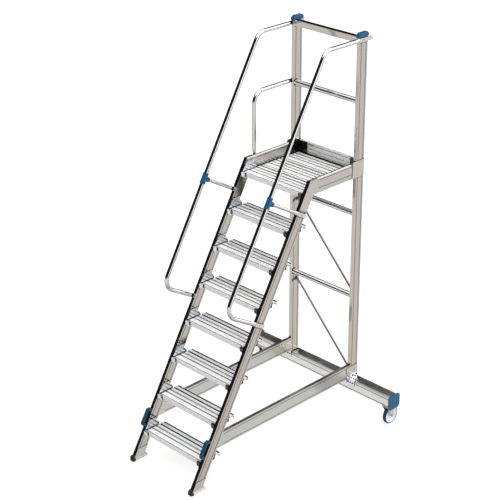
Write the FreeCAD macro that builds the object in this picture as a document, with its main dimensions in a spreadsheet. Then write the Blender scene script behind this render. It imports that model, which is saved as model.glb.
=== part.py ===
import FreeCAD, Part
import math
import os

import Sketcher
from FreeCAD import Placement, Rotation, Vector

# Mobile ladder stand: seven treads and a platform between two inclined stiles,
# two rear posts on a wide cross-beam with a fixed castor under each end.
# Millimetres.  X is across the stand, +Y runs from the steps to the rear, +Z is up.
# The origin is on the floor, under the middle of the whole stand.

doc = FreeCAD.newDocument("mobile_ladder_stand")

# ---------------------------------------------------------------- driving dimensions
DIMENSIONS = {
    # stair
    "stair_angle": 60.0,
    "level_rise": 240.0,
    "first_level": 208.0,
    "nose_setback": 4.0,
    "front_reach": 117.0,
    # aluminium box section of stiles, posts and beams
    "section_width": 26.0,
    "section_depth": 80.0,
    "section_wall": 3.0,
    "groove_inset": 13.0,
    "groove_width": 6.0,
    "groove_depth": 1.5,
    "inner_width": 574.0,
    # planks of the treads and the deck
    "plank_depth": 190.0,
    "plank_pitch": 194.0,
    "plank_height": 32.0,
    "plank_skin": 5.0,
    "plank_flange": 4.0,
    "plank_clearance": 0.5,
    "plank_setback": 11.0,
    "nose_line_width": 10.0,
    "tread_groove_width": 12.0,
    "tooth_gap_width": 5.0,
    "tread_slot_width": 14.0,
    "tread_slot_depth": 10.0,
    "rear_channel_width": 12.0,
    # platform
    "toe_height": 88.0,
    "beam_below_deck": 2.0,
    "deck_gap": 2.05,
    "post_above_deck": 986.0,
    "beam_edge": 7.0,
    "toe_board_thickness": 20.0,
    "ledge_thickness": 3.0,
    "ledge_reach": 24.0,
    # plates
    "plate_thickness": 3.0,
    "knee_plate_drop": 102.0,
    "knee_plate_reach": 74.0,
    "joint_plate_overlap": 38.0,
    "joint_plate_height": 122.0,
    "bracket_thickness": 3.0,
    "bracket_rise": 66.0,
    "bracket_reach": 138.0,
    "bracket_shoulder": 30.0,
    "nose_block_width": 30.0,
    "nose_tab_thickness": 4.0,
    # base
    "cross_offset": 3.0,
    "cross_depth": 98.0,
    "cross_height": 94.0,
    "cross_length": 1380.0,
    "cross_corner": 10.0,
    "cross_wall": 4.0,
    "cross_groove_inset": 19.0,
    "cross_groove_width": 8.0,
    "cross_groove_depth": 2.0,
    "rib_pitch": 8.0,
    "rib_depth": 1.6,
    "cap_lip": 5.0,
    "cap_tail": 19.0,
    "cap_thickness": 8.0,
    "cap_chamfer": 17.0,
    "base_beam_gap": 14.0,
    "base_beam_height": 106.0,
    "base_plate_drop": 10.0,
    "angle_reach": 42.0,
    # castors
    "wheel_radius": 70.0,
    "wheel_clearance": 20.0,
    "tyre_width": 30.0,
    "tyre_side_gap": 5.0,
    "tyre_depth": 9.0,
    "wheel_inset": 45.0,
    "wheel_trail": 28.0,
    "axle_radius": 6.0,
    "axle_clearance": 0.05,
    "fork_thickness": 4.0,
    "fork_plate_inset": 4.0,
    "fork_head_inset": 7.0,
    "fork_foot": 15.0,
    # feet
    "sole_height": 24.0,
    "sole_width": 34.0,
    "sole_rear": 22.0,
    "shoe_top": 86.0,
    "shoe_wall": 2.0,
    "foot_nose_depth": 28.0,
    "foot_nose_height": 39.0,
    # rails
    "rail_radius": 15.0,
    "rail_wall": 2.0,
    "rail_offset": 314.0,
    "rail_inset": 6.4,
    "rail_bend": 90.0,
    "rail_foot_along": 1012.0,
    "rail_above_deck": 960.0,
    "rail_overhang": 48.0,
    "tab_thickness": 5.0,
    "tab_width": 28.0,
    "tab_overhang": 10.0,
    "flatten_length": 34.0,
    "branch_radius": 12.5,
    "branch_drop": 130.0,
    "connector_wall": 4.0,
    "connector_length": 78.0,
    "connector_neck": 42.0,
    "collar_size": 41.0,
    "collar_width": 12.0,
    "fit_clearance": 0.1,
    "cross_tube_radius": 20.0,
    "knee_rail_above_deck": 529.0,
    "rung_upper_drop": 303.0,
    "rung_lower_drop": 947.0,
    "loop_above_deck": 539.0,
    "loop_knee_gap": 8.6,
    "loop_bend": 90.0,
    "brace_radius": 9.0,
    "brace_gap": 5.0,
    "brace_upper_drop": 358.0,
    "brace_foot_gap": 30.0,
    "brace_drop": 590.0,
    # top bar and caps
    "top_bar_height": 42.0,
    "top_bar_depth": 40.0,
    "top_bar_drop": 4.0,
    "post_cap_overhang": 9.0,
    "post_cap_wall": 3.0,
    "post_cap_height": 30.0,
    "post_cap_skirt": 6.0,
    "post_cap_chamfer": 6.0,
    # grips
    "grip_along": 32.0,
    "grip_length": 134.0,
    "grip_reach": 42.0,
    "grip_width": 24.0,
    "grip_bar": 14.0,
    "grip_foot": 30.0,
    # fasteners
    "bolt_radius": 5.5,
    "bolt_height": 4.0,
    "rivet_radius": 3.2,
    "rivet_height": 1.2,
}

sheet = doc.addObject("Spreadsheet::Sheet", "sheet")
for row, (alias, number) in enumerate(DIMENSIONS.items(), start=1):
    sheet.set("A%d" % row, alias)
    sheet.set("B%d" % row, str(number))
    sheet.setAlias("B%d" % row, alias)
doc.recompute()


class Size:
    """A length with the expression that binds it to the sheet and its present value."""

    def __init__(self, text, value):
        self.text = text
        self.value = value

    def __add__(self, other):
        other = as_size(other)
        return Size("(%s + %s)" % (self.text, other.text), self.value + other.value)

    def __sub__(self, other):
        other = as_size(other)
        return Size("(%s - %s)" % (self.text, other.text), self.value - other.value)

    def __mul__(self, other):
        other = as_size(other)
        return Size("(%s * %s)" % (self.text, other.text), self.value * other.value)

    def __truediv__(self, other):
        other = as_size(other)
        return Size("(%s / %s)" % (self.text, other.text), self.value / other.value)

    def __neg__(self):
        return Size("(0 - %s)" % self.text, -self.value)

    __radd__ = __add__

    def __rsub__(self, other):
        return as_size(other) - self

    def __rmul__(self, other):
        return self * other


def as_size(number):
    if isinstance(number, Size):
        return number
    return Size("%s" % number, float(number))


def cell(alias):
    return Size("sheet.%s" % alias, float(sheet.get(alias)))


def plain(number):
    return as_size(number).value


# ---------------------------------------------------------------- shared measures
ANGLE = math.radians(plain(cell("stair_angle")))
TAN = Size("tan(sheet.stair_angle * 1 deg)", math.tan(ANGLE))
SIN = Size("sin(sheet.stair_angle * 1 deg)", math.sin(ANGLE))
COS = Size("cos(sheet.stair_angle * 1 deg)", math.cos(ANGLE))

SIDES = (("left", -1), ("right", 1))
LEVELS = 8
DECK_PLANKS = 3

# Reaches to the rear, measured from the first tread's nose.
STAIR_RUN = cell("level_rise") * (LEVELS - 1) / TAN
DECK_REACH = STAIR_RUN + cell("plank_pitch") * (DECK_PLANKS - 1) + cell("plank_depth")
POST_REACH = DECK_REACH + cell("deck_gap") + cell("toe_board_thickness") - cell("section_depth")
CROSS_REACH = POST_REACH + cell("cross_offset")
AXLE_REACH = CROSS_REACH + cell("cross_depth") / 2 + cell("wheel_trail")
# The castor wheels reach furthest.
REAR_REACH = AXLE_REACH + cell("wheel_radius")
# Y of the first tread's nose: the stand's own middle is at Y = 0.
NOSE_Y = (cell("front_reach") - REAR_REACH) / 2

HALF_INNER = cell("inner_width") / 2
HALF_OUTER = HALF_INNER + cell("section_width")
SECTION_X = HALF_INNER + cell("section_width") / 2
STILE_FRONT = cell("nose_setback")
STILE_REAR = cell("nose_setback") + cell("section_depth")
STAIR_LENGTH = cell("level_rise") * (LEVELS - 1) / SIN
DECK = cell("first_level") + cell("level_rise") * (LEVELS - 1)
BEAM_TOP = DECK + cell("toe_height")
BEAM_BOTTOM = DECK - cell("beam_below_deck")
POST_FRONT = NOSE_Y + POST_REACH
POST_REAR = POST_FRONT + cell("section_depth")
POST_TOP = DECK + cell("post_above_deck")
CROSS_FRONT = NOSE_Y + CROSS_REACH
CROSS_REAR = CROSS_FRONT + cell("cross_depth")
CROSS_MIDDLE = CROSS_FRONT + cell("cross_depth") / 2
CROSS_BOTTOM = cell("wheel_radius") * 2 + cell("wheel_clearance") + cell("fork_thickness")
CROSS_TOP = CROSS_BOTTOM + cell("cross_height")
BASE_BOTTOM = CROSS_TOP + cell("base_beam_gap")
BASE_TOP = BASE_BOTTOM + cell("base_beam_height")
CASTOR_X = cell("cross_length") / 2 - cell("wheel_inset")
CASTOR_Y = CROSS_MIDDLE + cell("wheel_trail")
FORK_GAP = cell("tyre_width") + cell("tyre_side_gap") * 2
RAIL_TOP = DECK + cell("rail_above_deck")
LOOP_HEIGHT = DECK + cell("loop_above_deck")
BRANCH_ALONG = STAIR_LENGTH - cell("branch_drop")
KNEE_PLATE_FOOT = STAIR_LENGTH - cell("knee_plate_drop")


def slope_y(height, back):
    """Y of the line parallel to the tread noses, a distance behind them, at a height."""
    return NOSE_Y + (height - cell("first_level")) / TAN + back / SIN


KNEE_PLATE_REAR = slope_y(BEAM_TOP, STILE_FRONT) + cell("knee_plate_reach")
LOOP_FRONT = KNEE_PLATE_REAR + cell("loop_knee_gap") + cell("tab_width") / 2


def level(number):
    return cell("first_level") + cell("level_rise") * (number - 1)


def nose_at(number):
    return slope_y(level(number), as_size(0))


def slope_point(along, back):
    """Point in the YZ plane, measured along the stair and square to it from the first nose."""
    along = plain(along)
    back = plain(back)
    y = plain(NOSE_Y) + along * math.cos(ANGLE) + back * math.sin(ANGLE)
    z = plain(cell("first_level")) + along * math.sin(ANGLE) - back * math.cos(ANGLE)
    return Vector(0, y, z)


# ---------------------------------------------------------------- sketch helpers
NODES = []


def origin_plane(body, role):
    return [item for item in body.Origin.OriginFeatures if item.Role == role][0]


def new_body(label):
    body = doc.addObject("PartDesign::Body", label)
    body.Label = label
    NODES.append(body)
    return body


def new_sketch(body, role, offset=None):
    sketch = body.newObject("Sketcher::SketchObject", "outline")
    sketch.AttachmentSupport = [(origin_plane(body, role), "")]
    sketch.MapMode = "FlatFace"
    if offset is not None:
        sketch.setExpression("AttachmentOffset.Base.z", as_size(offset).text)
    return sketch


def bind(sketch, kind, geometry, point, size):
    """Place one coordinate of a sketch point from the sketch's origin."""
    size = as_size(size)
    index = sketch.addConstraint(Sketcher.Constraint(kind, -1, 1, geometry, point, size.value))
    sketch.setExpression("Constraints[%d]" % index, size.text)


def add_outline(sketch, corners):
    """A closed outline of straight edges through the corners."""
    first = sketch.GeometryCount
    count = len(corners)
    for index in range(count):
        start = corners[index]
        end = corners[(index + 1) % count]
        edge = Part.LineSegment(
            Vector(plain(start[0]), plain(start[1]), 0),
            Vector(plain(end[0]), plain(end[1]), 0),
        )
        sketch.addGeometry(edge, False)
    for index in range(count):
        following = first + (index + 1) % count
        sketch.addConstraint(Sketcher.Constraint("Coincident", first + index, 2, following, 1))
    for index, corner in enumerate(corners):
        bind(sketch, "DistanceX", first + index, 1, corner[0])
        bind(sketch, "DistanceY", first + index, 1, corner[1])


def add_circle(sketch, x, y, radius):
    radius = as_size(radius)
    centre = Vector(plain(x), plain(y), 0)
    geometry = sketch.addGeometry(Part.Circle(centre, Vector(0, 0, 1), radius.value), False)
    bind(sketch, "DistanceX", geometry, 3, x)
    bind(sketch, "DistanceY", geometry, 3, y)
    index = sketch.addConstraint(Sketcher.Constraint("Radius", geometry, radius.value))
    sketch.setExpression("Constraints[%d]" % index, radius.text)


def pad(body, sketch, length, symmetric=True):
    feature = body.newObject("PartDesign::Pad", "pad")
    feature.Profile = sketch
    feature.SideType = "Symmetric" if symmetric else "One side"
    feature.setExpression("Length", as_size(length).text)
    doc.recompute()
    return feature


def pocket(body, sketch, length, symmetric=True, reversed_way=False):
    """Cut a sketch out of the body, and make sure that it removed material."""
    before = body.Shape.Volume
    feature = body.newObject("PartDesign::Pocket", "pocket")
    feature.Profile = sketch
    feature.SideType = "Symmetric" if symmetric else "One side"
    feature.Reversed = reversed_way
    feature.setExpression("Length", as_size(length).text)
    doc.recompute()
    if body.Shape.Volume > before - 1e-3:
        raise RuntimeError("%s: a pocket removed nothing" % body.Label)
    return feature


def move_to(body, x=0, y=0, z=0):
    for axis, size in (("x", x), ("y", y), ("z", z)):
        body.setExpression("Placement.Base.%s" % axis, as_size(size).text)


def side_piece(label, outline, width, x, cavity=None, grooves=()):
    """A piece drawn from the side, in the YZ plane, and given its width about X."""
    body = new_body(label)
    sketch = new_sketch(body, "YZ_Plane")
    add_outline(sketch, outline)
    pad(body, sketch, width)
    if cavity:
        hollow = new_sketch(body, "YZ_Plane")
        add_outline(hollow, cavity)
        pocket(body, hollow, as_size(width) - cell("section_wall") * 2)
    if grooves:
        for way in (-1, 1):
            face = as_size(width) / 2 * way
            cut = new_sketch(body, "YZ_Plane", face)
            for groove in grooves:
                add_outline(cut, groove)
            pocket(body, cut, cell("groove_depth"), symmetric=False, reversed_way=way < 0)
    move_to(body, x=x)
    return body


def level_strip(y_low, y_high, z_low, z_high):
    return [(y_low, z_low), (y_high, z_low), (y_high, z_high), (y_low, z_high)]


def level_grooves(y_low, y_high, z_low, z_high):
    """Two grooves along a level beam, near its lower and upper edges."""
    inset = cell("groove_inset")
    width = cell("groove_width")
    return [
        level_strip(y_low, y_high, z_low + inset, z_low + inset + width),
        level_strip(y_low, y_high, z_high - inset - width, z_high - inset),
    ]


# ---------------------------------------------------------------- stiles, posts and beams
def slope_strip(back_low, back_high, z_low, z_high):
    return [
        (slope_y(z_low, back_low), z_low),
        (slope_y(z_low, back_high), z_low),
        (slope_y(z_high, back_high), z_high),
        (slope_y(z_high, back_low), z_high),
    ]


def make_stile(side, way):
    foot = cell("sole_height")
    wall = cell("section_wall")
    inset = cell("groove_inset")
    width = cell("groove_width")
    outline = [
        (slope_y(foot, STILE_FRONT), foot),
        (slope_y(foot, STILE_REAR), foot),
        (slope_y(BEAM_BOTTOM, STILE_REAR), BEAM_BOTTOM),
        (slope_y(BEAM_TOP, STILE_FRONT), BEAM_TOP),
    ]
    cavity_top = BEAM_BOTTOM - cell("section_width")
    cavity = slope_strip(STILE_FRONT + wall, STILE_REAR - wall, foot - 1, cavity_top)
    front = STILE_FRONT + inset
    rear = STILE_REAR - inset
    grooves = [
        slope_strip(front, front + width, foot - 1, cavity_top),
        slope_strip(rear - width, rear, foot - 1, cavity_top),
    ]
    side_piece("stile_" + side, outline, cell("section_width"), SECTION_X * way, cavity, grooves)


def make_post(side, way):
    wall = cell("section_wall")
    inset = cell("groove_inset")
    width = cell("groove_width")
    top = POST_TOP
    outline = level_strip(POST_FRONT, POST_REAR, CROSS_TOP, top)
    cavity = level_strip(POST_FRONT + wall, POST_REAR - wall, CROSS_TOP - 1, top + 1)
    front = POST_FRONT + inset
    rear = POST_REAR - inset
    grooves = [
        level_strip(front, front + width, CROSS_TOP - 1, top + 1),
        level_strip(rear - width, rear, CROSS_TOP - 1, top + 1),
    ]
    side_piece("post_" + side, outline, cell("section_width"), SECTION_X * way, cavity, grooves)


def make_side_beam(side, way):
    """Platform side beam: it stands above the deck as the toe guard."""
    wall = cell("section_wall")
    edge_cut = cell("beam_edge")
    outline = [
        (slope_y(BEAM_TOP, STILE_FRONT), BEAM_TOP),
        (slope_y(BEAM_BOTTOM, STILE_REAR), BEAM_BOTTOM),
        (POST_FRONT, BEAM_BOTTOM),
        (POST_FRONT, BEAM_TOP),
    ]
    front = slope_y(BEAM_TOP, STILE_REAR)
    cavity = level_strip(front, POST_FRONT + 1, BEAM_BOTTOM + wall, BEAM_TOP - wall - edge_cut)
    grooves = level_grooves(front, POST_FRONT + 1, BEAM_BOTTOM, BEAM_TOP)
    name = "side_beam_" + side
    body = side_piece(name, outline, cell("section_width"), SECTION_X * way, cavity, grooves)
    solid = body.Tip
    upper_edges = []
    for index, edge in enumerate(solid.Shape.Edges, start=1):
        box = edge.BoundBox
        if box.ZMin > plain(BEAM_TOP) - 0.01 and box.YLength > 1:
            upper_edges.append("Edge%d" % index)
    chamfer = body.newObject("PartDesign::Chamfer", "chamfer")
    chamfer.Base = (solid, upper_edges)
    chamfer.setExpression("Size", cell("beam_edge").text)
    doc.recompute()


def make_base_beam(side, way):
    wall = cell("section_wall")
    outline = [
        (slope_y(BASE_BOTTOM, STILE_REAR), BASE_BOTTOM),
        (POST_FRONT, BASE_BOTTOM),
        (POST_FRONT, BASE_TOP),
        (slope_y(BASE_TOP, STILE_REAR), BASE_TOP),
    ]
    front = slope_y(BASE_TOP, STILE_REAR) + wall
    cavity = level_strip(front, POST_FRONT + 1, BASE_BOTTOM + wall, BASE_TOP - wall)
    grooves = level_grooves(front, POST_FRONT + 1, BASE_BOTTOM, BASE_TOP)
    name = "base_beam_" + side
    side_piece(name, outline, cell("section_width"), SECTION_X * way, cavity, grooves)


def make_cross_beam():
    """Wide closed section with a ribbed tread surface on top and two grooves on each side."""
    wall = cell("cross_wall")
    corner = cell("cross_corner")
    width = cell("cross_groove_width")
    depth = cell("cross_groove_depth")
    low = CROSS_BOTTOM
    inset = cell("cross_groove_inset")
    pitch = cell("rib_pitch")
    outline = [
        (CROSS_FRONT, low + corner),
        (CROSS_FRONT + corner, low),
        (CROSS_REAR - corner, low),
        (CROSS_REAR, low + corner),
    ]
    for height in (low + inset, CROSS_TOP - inset):
        outline.append((CROSS_REAR, height - width / 2))
        outline.append((CROSS_REAR - depth, height - width / 2))
        outline.append((CROSS_REAR - depth, height + width / 2))
        outline.append((CROSS_REAR, height + width / 2))
    outline.append((CROSS_REAR, CROSS_TOP - corner))
    outline.append((CROSS_REAR - corner, CROSS_TOP))
    ribs = int((plain(cell("cross_depth")) - 2 * plain(corner)) / plain(pitch)) - 1
    for index in range(ribs):
        middle = CROSS_MIDDLE + pitch * ((ribs - 1) / 2 - index)
        outline.append((middle + pitch / 4, CROSS_TOP))
        outline.append((middle + pitch / 4, CROSS_TOP - cell("rib_depth")))
        outline.append((middle - pitch / 4, CROSS_TOP - cell("rib_depth")))
        outline.append((middle - pitch / 4, CROSS_TOP))
    outline.append((CROSS_FRONT + corner, CROSS_TOP))
    outline.append((CROSS_FRONT, CROSS_TOP - corner))
    for height in (CROSS_TOP - inset, low + inset):
        outline.append((CROSS_FRONT, height + width / 2))
        outline.append((CROSS_FRONT + depth, height + width / 2))
        outline.append((CROSS_FRONT + depth, height - width / 2))
        outline.append((CROSS_FRONT, height - width / 2))
    body = new_body("cross_beam")
    sketch = new_sketch(body, "YZ_Plane")
    add_outline(sketch, outline)
    add_outline(sketch, level_strip(CROSS_FRONT + wall + corner / 2, CROSS_REAR - wall - corner / 2,
                                    low + wall, CROSS_TOP - wall))
    pad(body, sketch, cell("cross_length"))


def make_top_bar():
    body = new_body("top_bar")
    top = POST_TOP - cell("top_bar_drop")
    low = top - cell("top_bar_height")
    wall = cell("section_wall")
    rear = POST_FRONT + cell("top_bar_depth")
    sketch = new_sketch(body, "YZ_Plane")
    lip = cell("groove_depth") * 2
    inset = cell("groove_inset") / 2
    add_outline(sketch, [
        (POST_FRONT, low),
        (rear, low),
        (rear, top),
        (rear - inset, top),
        (rear - inset, top - lip),
        (POST_FRONT + inset, top - lip),
        (POST_FRONT + inset, top),
        (POST_FRONT, top),
    ])
    add_outline(sketch, level_strip(POST_FRONT + wall, rear - wall, low + wall, top - lip - wall))
    pad(body, sketch, cell("inner_width"))


def make_toe_board():
    rear = POST_REAR
    front = POST_REAR - cell("toe_board_thickness")
    wall = cell("section_wall")
    inset = cell("groove_inset")
    width = cell("groove_width")
    depth = cell("groove_depth")
    body = new_body("toe_board")
    sketch = new_sketch(body, "YZ_Plane")
    outline = [(front, BEAM_BOTTOM), (rear, BEAM_BOTTOM), (rear, BEAM_TOP), (front, BEAM_TOP)]
    for height in (BEAM_TOP - inset, (BEAM_TOP + BEAM_BOTTOM) / 2, BEAM_BOTTOM + inset * 1.5):
        outline.append((front, height + width / 2))
        outline.append((front + depth, height + width / 2))
        outline.append((front + depth, height - width / 2))
        outline.append((front, height - width / 2))
    add_outline(sketch, outline)
    add_outline(sketch, level_strip(front + wall, rear - wall, BEAM_BOTTOM + wall, BEAM_TOP - wall))
    pad(body, sketch, cell("inner_width"))


# ---------------------------------------------------------------- treads and deck
def plank_outline(nose, top, setback):
    """Section of a tread plank: ribbed skin, hooked nose, rear flange; the front may be set back."""
    front = nose + setback
    depth = cell("plank_depth")
    skin = cell("plank_skin")
    flange = cell("plank_flange")
    low = top - cell("plank_height")
    strip = depth / 5

    def notch(middle, half, deep):
        return [
            (nose + middle - half, top),
            (nose + middle - half, top - deep),
            (nose + middle + half, top - deep),
            (nose + middle + half, top),
        ]

    line = strip / 2
    line_half = cell("nose_line_width") / 2
    groove = strip * 1.78
    groove_half = cell("tread_groove_width") / 2
    tooth = strip * 2.77
    tooth_half = cell("tooth_gap_width") / 2
    slot = strip * 3.77
    slot_half = cell("tread_slot_width") / 2
    slot_depth = cell("tread_slot_depth")
    slot_floor = slot_depth + flange * 0.75
    channel = cell("rear_channel_width") + flange
    channel_floor = skin + flange / 2
    outline = [(front, top)]
    outline += notch(line, line_half, flange / 2)
    outline += notch(groove, groove_half, flange * 0.75)
    outline += notch(tooth - flange, tooth_half, flange / 2)
    outline += notch(tooth + flange, tooth_half, flange / 2)
    outline += notch(slot, slot_half, slot_depth)
    outline += [
        (nose + depth - channel, top),
        (nose + depth - channel, top - channel_floor),
        (nose + depth - flange, top - channel_floor),
        (nose + depth - flange, top),
        (nose + depth, top),
        (nose + depth, low),
        (nose + depth - flange, low),
        (nose + depth - flange, top - channel_floor - flange),
        (nose + depth - channel - flange, top - channel_floor - flange),
        (nose + depth - channel - flange, top - skin),
        (nose + slot + slot_half + flange, top - skin),
        (nose + slot + slot_half + flange, top - slot_floor),
        (nose + slot - slot_half - flange, top - slot_floor),
        (nose + slot - slot_half - flange, top - skin),
        (nose + groove + flange / 2, top - skin),
        (nose + groove + flange / 2, top - skin * 3),
        (nose + groove - flange / 2, top - skin * 3),
        (nose + groove - flange / 2, top - skin),
        (front + flange, top - skin),
        (front + flange, low + flange),
        (front + flange * 3, low + flange),
        (front + flange * 3, low),
        (front, low),
    ]
    return outline


def make_plank(label, nose, top, setback):
    body = new_body(label)
    sketch = new_sketch(body, "YZ_Plane")
    add_outline(sketch, plank_outline(nose, top, setback))
    length = cell("inner_width") - (cell("bracket_thickness") + cell("plank_clearance")) * 2
    pad(body, sketch, length)


def extruded_face(corners, x_low, x_high):
    """A flat outline in the YZ plane, given as plain vectors, made solid between two X values."""
    wire = Part.makePolygon([Vector(x_low, point.y, point.z) for point in corners + corners[:1]])
    return Part.Face(wire).extrude(Vector(x_high - x_low, 0, 0))


def flat_point(y, z):
    return Vector(0, plain(y), plain(z))


def tread_bracket(number, way):
    """Gusset on the stile's inner face that carries a tread end, with the nose block in front."""
    top = level(number)
    nose = nose_at(number)
    low = top - cell("plank_height")
    inner = plain(HALF_INNER)
    thick = plain(cell("bracket_thickness"))
    rise = cell("bracket_rise")
    shoulder = cell("bracket_shoulder")
    rear = nose + cell("bracket_reach")
    step = cell("plank_flange") * 2
    gusset = [
        flat_point(slope_y(low, STILE_FRONT), low),
        flat_point(rear, low),
        flat_point(rear, top + shoulder * 0.6),
        flat_point(rear - shoulder * 0.3, top + shoulder),
        flat_point(slope_y(top + shoulder, STILE_REAR), top + shoulder),
        flat_point(slope_y(top + rise, STILE_REAR - step), top + rise),
        flat_point(slope_y(top + rise, STILE_FRONT + step), top + rise),
        flat_point(slope_y(top, STILE_FRONT), top),
    ]
    plate = extruded_face(gusset, inner - thick, inner)
    tab = plain(cell("nose_tab_thickness"))
    front_face = [
        flat_point(nose - tab, top),
        flat_point(slope_y(top, STILE_FRONT), top),
        flat_point(slope_y(low, STILE_FRONT), low),
        flat_point(nose - tab - plain(cell("plank_height")) / 2, low),
        flat_point(nose - tab, top - cell("plank_height") / 2),
    ]
    block_width = plain(cell("nose_block_width"))
    block = extruded_face(front_face, inner - thick, plain(HALF_OUTER))
    cap_rear = nose + plain(cell("plank_setback")) - 0.1
    nose_cap = [
        flat_point(nose - tab, top + plain(cell("plank_clearance")) * 2),
        flat_point(cap_rear, top + plain(cell("plank_clearance")) * 2),
        flat_point(cap_rear, low),
        flat_point(nose - tab, low),
    ]
    cap = extruded_face(nose_cap, inner - block_width, inner - thick + 1)
    solid = plate.fuse([block, cap]).removeSplitter()
    if way < 0:
        solid = solid.mirror(Vector(0, 0, 0), Vector(1, 0, 0))
    return solid


def shape_node(label, shape):
    """A sub-part whose shape is made with Part's own functions, already in its place."""
    feature = doc.addObject("Part::Feature", label)
    feature.Label = label
    feature.Shape = shape
    feature.Placement = Placement(Vector(0, 0, 0), Rotation())
    NODES.append(feature)
    return feature


def make_ledges():
    """Angles under the side beams that carry the deck planks."""
    top = DECK - cell("plank_height")
    thick = cell("ledge_thickness")
    solids = []
    for side, way in SIDES:
        x_web = plain(HALF_INNER)
        x_in = plain(HALF_INNER - cell("ledge_reach"))
        x_out = plain(HALF_INNER + cell("ledge_reach") / 2)
        y_low = plain(slope_y(top, STILE_REAR) + cell("section_width"))
        length = plain(POST_FRONT) - y_low
        foot = Part.makeBox(x_web - x_in, length, plain(thick),
                            Vector(x_in, y_low, plain(top - thick)))
        web = Part.makeBox(plain(thick), length, plain(BEAM_BOTTOM - top + thick),
                           Vector(x_web, y_low, plain(top - thick)))
        head = Part.makeBox(x_out - x_web, length, plain(thick),
                            Vector(x_web, y_low, plain(BEAM_BOTTOM - thick)))
        ledge = foot.fuse([web, head]).removeSplitter()
        if way < 0:
            ledge = ledge.mirror(Vector(0, 0, 0), Vector(1, 0, 0))
        solids.append(ledge)
    shape_node("deck_ledges", Part.makeCompound(solids))


def make_toe_brackets():
    """Corner plates on the side beams' inner faces, behind the deck."""
    solids = []
    thick = plain(cell("bracket_thickness"))
    front = plain(POST_REAR - cell("toe_board_thickness"))
    low = plain(DECK + 1)
    height = plain(BEAM_TOP) - low
    reach = plain(cell("section_depth"))
    for side, way in SIDES:
        inner = plain(HALF_INNER)
        plate = Part.makeBox(thick, reach, height, Vector(inner - thick, front - reach, low))
        wing = Part.makeBox(reach, thick, height, Vector(inner - reach, front - thick, low))
        corner = plate.fuse(wing).removeSplitter()
        if way < 0:
            corner = corner.mirror(Vector(0, 0, 0), Vector(1, 0, 0))
        solids.append(corner)
    shape_node("toe_brackets", Part.makeCompound(solids))


# ---------------------------------------------------------------- plates
def make_knee_plate(side, way):
    """Bent cover plate over the joint of stile and side beam."""
    thick = cell("plate_thickness")
    foot = KNEE_PLATE_FOOT
    low_front_y = NOSE_Y + foot * COS + STILE_FRONT * SIN
    low_front_z = cell("first_level") + foot * SIN - STILE_FRONT * COS
    low_rear_y = NOSE_Y + foot * COS + STILE_REAR * SIN
    low_rear_z = cell("first_level") + foot * SIN - STILE_REAR * COS
    outline = [
        (low_front_y, low_front_z),
        (low_rear_y, low_rear_z),
        (slope_y(BEAM_BOTTOM, STILE_REAR), BEAM_BOTTOM),
        (KNEE_PLATE_REAR, BEAM_BOTTOM),
        (KNEE_PLATE_REAR, BEAM_TOP),
        (slope_y(BEAM_TOP, STILE_FRONT), BEAM_TOP),
    ]
    side_piece("knee_plate_" + side, outline, thick, (HALF_OUTER + thick / 2) * way)


def make_platform_plate(side, way):
    thick = cell("plate_thickness")
    top = BEAM_TOP + cell("groove_inset")
    low = top - cell("joint_plate_height")
    outline = level_strip(POST_FRONT - cell("joint_plate_overlap"), POST_REAR, low, top)
    side_piece("platform_plate_" + side, outline, thick, (HALF_OUTER + thick / 2) * way)


def make_base_plate(side, way):
    thick = cell("plate_thickness")
    top = BASE_TOP - cell("base_plate_drop")
    outline = level_strip(POST_FRONT - cell("joint_plate_overlap"), POST_REAR, CROSS_TOP, top)
    side_piece("base_plate_" + side, outline, thick, (HALF_OUTER + thick / 2) * way)


def make_base_angles():
    """Bent angles that hold the posts to the top and the front of the cross-beam."""
    solids = []
    thick = plain(cell("plate_thickness"))
    outer = plain(HALF_OUTER) + thick
    y_low = plain(CROSS_FRONT) - thick
    length = plain(POST_REAR) - y_low
    reach = plain(cell("angle_reach"))
    z_low = plain(CROSS_TOP)
    inner = plain(HALF_INNER)
    for side, way in SIDES:
        foot = Part.makeBox(reach, length, thick, Vector(outer, y_low, z_low))
        leg = Part.makeBox(thick, length, reach, Vector(outer, y_low, z_low))
        flange = Part.makeBox(outer + reach - inner, thick, reach, Vector(inner, y_low, z_low - reach))
        angle = foot.fuse([leg, flange]).removeSplitter()
        if way < 0:
            angle = angle.mirror(Vector(0, 0, 0), Vector(1, 0, 0))
        solids.append(angle)
    shape_node("base_angles", Part.makeCompound(solids))


# ---------------------------------------------------------------- end caps
def make_end_cap(side, way):
    """Cap with cut corners on an end of the cross-beam, standing proud below and behind it."""
    front = CROSS_FRONT - cell("cap_lip")
    rear = CROSS_REAR + cell("cap_tail")
    low = CROSS_BOTTOM - cell("cap_tail")
    top = CROSS_TOP + cell("cap_lip")
    cut = cell("cap_chamfer")
    body = new_body("end_cap_" + side)
    sketch = new_sketch(body, "YZ_Plane")
    corners = [
        (front, low + cut),
        (front + cut, low),
        (rear - cut, low),
        (rear, low + cut),
        (rear, top - cut),
        (rear - cut, top),
        (front + cut, top),
        (front, top - cut),
    ]
    add_outline(sketch, corners)
    feature = pad(body, sketch, cell("cap_thickness"))
    outer_edges = []
    for index, edge in enumerate(feature.Shape.Edges, start=1):
        box = edge.BoundBox
        if box.XLength < 0.01 and box.XMin * way > 0:
            outer_edges.append("Edge%d" % index)
    chamfer = body.newObject("PartDesign::Chamfer", "chamfer")
    chamfer.Base = (feature, outer_edges)
    chamfer.setExpression("Size", (cell("cap_thickness") / 4).text)
    doc.recompute()
    move_to(body, x=(cell("cross_length") / 2 + cell("cap_thickness") / 2) * way)


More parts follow.
